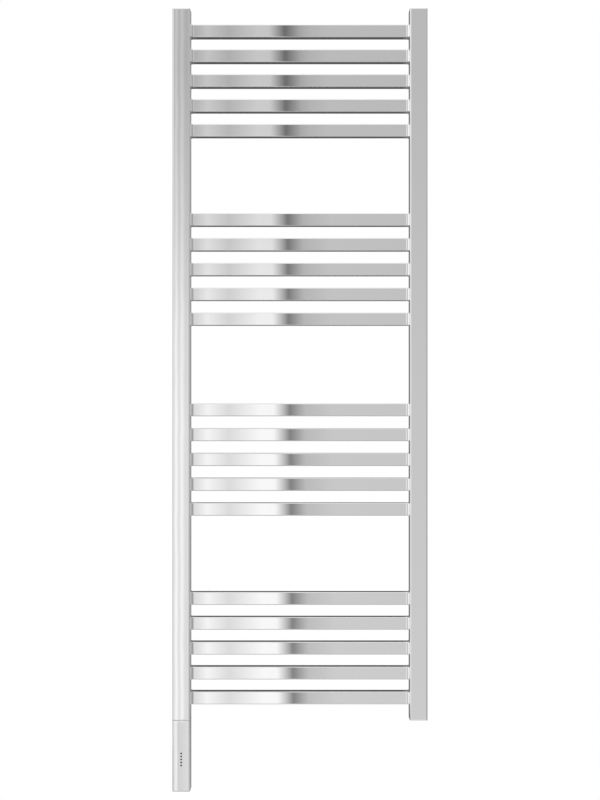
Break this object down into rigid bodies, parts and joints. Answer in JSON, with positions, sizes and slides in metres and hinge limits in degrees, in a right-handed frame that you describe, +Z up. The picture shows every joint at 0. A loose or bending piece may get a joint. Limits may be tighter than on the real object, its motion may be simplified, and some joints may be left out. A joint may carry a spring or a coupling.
{
  "type": "towel warmer rack",
  "caption": "Wall-hung electric ladder towel warmer: two square uprights joined by flat rungs in groups, with a control head below the left upright.",
  "frame": {"origin": "on the wall, at the centre of the four wall screws", "axes": "+Z up, +Y into the wall, +X to the right as seen from the room"},
  "size_m": [0.5, 0.1, 1.5335],
  "materials": {
    "chrome_plated_steel": "mirror polished",
    "zinc_plated_steel": "zinc plated",
    "stainless_steel": "drawn, bright",
    "nickel_plated_brass": "satin nickel plate",
    "brass": "machined",
    "epdm_rubber": "matt black",
    "glass_filled_nylon": "moulded, fine grain",
    "moulded_abs": "moulded, satin",
    "terminal_nylon": "moulded, grey",
    "smoked_polycarbonate": "smoked, glossy",
    "glass_epoxy_board": "solder mask",
    "epoxy_chip": "moulded black",
    "capacitor_aluminium": "sleeved can",
    "silicone_insulation": "matt white"
  },
  "bodies": {
    "wall_sockets": {"lower_left_wall_socket": "chrome_plated_steel", "lower_right_wall_socket": "chrome_plated_steel", "upper_left_wall_socket": "chrome_plated_steel", "upper_right_wall_socket": "chrome_plated_steel", "bracket_grub_screws": "stainless_steel"},
    "rail": {"board_carrier": "glass_filled_nylon", "board_parts": "epoxy_chip", "bottom_bosses": "zinc_plated_steel", "bracket_posts": "chrome_plated_steel", "control_board": "glass_epoxy_board", "control_housing": "chrome_plated_steel", "drain_plug": "nickel_plated_brass", "drain_plug_seal": "epdm_rubber", "gland_body": "glass_filled_nylon", "gland_locknut": "nickel_plated_brass", "gland_seal": "epdm_rubber", "head_gasket": "epdm_rubber", "head_screws": "stainless_steel", "heater_head": "brass", "heater_leads": "silicone_insulation", "heater_pins": "stainless_steel", "heater_seal": "epdm_rubber", "heating_element": "stainless_steel", "indicator_lenses": "smoked_polycarbonate", "left_upright": "chrome_plated_steel", "mains_terminal": "terminal_nylon", "power_relay": "glass_filled_nylon", "right_upright": "chrome_plated_steel", "rung_01": "chrome_plated_steel", "rung_02": "chrome_plated_steel", "rung_03": "chrome_plated_steel", "rung_04": "chrome_plated_steel", "rung_05": "chrome_plated_steel", "rung_06": "chrome_plated_steel", "rung_07": "chrome_plated_steel", "rung_08": "chrome_plated_steel", "rung_09": "chrome_plated_steel", "rung_10": "chrome_plated_steel", "rung_11": "chrome_plated_steel", "rung_12": "chrome_plated_steel", "rung_13": "chrome_plated_steel", "rung_14": "chrome_plated_steel", "rung_15": "chrome_plated_steel", "rung_16": "chrome_plated_steel", "rung_17": "chrome_plated_steel", "rung_18": "chrome_plated_steel", "rung_19": "chrome_plated_steel", "rung_20": "chrome_plated_steel", "sensor_lead": "silicone_insulation", "smoothing_capacitor": "capacitor_aluminium", "switch_body": "glass_filled_nylon", "temperature_sensor": "stainless_steel", "thermowell": "stainless_steel", "top_caps": "chrome_plated_steel", "vent_body": "nickel_plated_brass", "vent_boss": "chrome_plated_steel", "vent_seal": "epdm_rubber"},
    "vent_spindle": {"vent_spindle": "nickel_plated_brass"},
    "mode_button": {"mode_button": "moulded_abs", "switch_plunger": "moulded_abs"}
  },
  "joints": [
    {"name": "wall_distance", "type": "slide", "parent": "wall_sockets", "child": "rail", "axis": [0, -1, 0], "range_m": [-0.008, 0.012]},
    {"name": "vent_turn", "type": "hinge", "parent": "rail", "child": "vent_spindle", "pos_m": [0.2325, -0.055, 0.667], "axis": [0, 1, 0], "range_deg": [0, 360]},
    {"name": "button_press", "type": "slide", "parent": "rail", "child": "mode_button", "axis": [0, 0, 1], "range_m": [0, 0.0008], "stiffness_N_per_m": 1000, "springref_m": -0.0005}
  ]
}
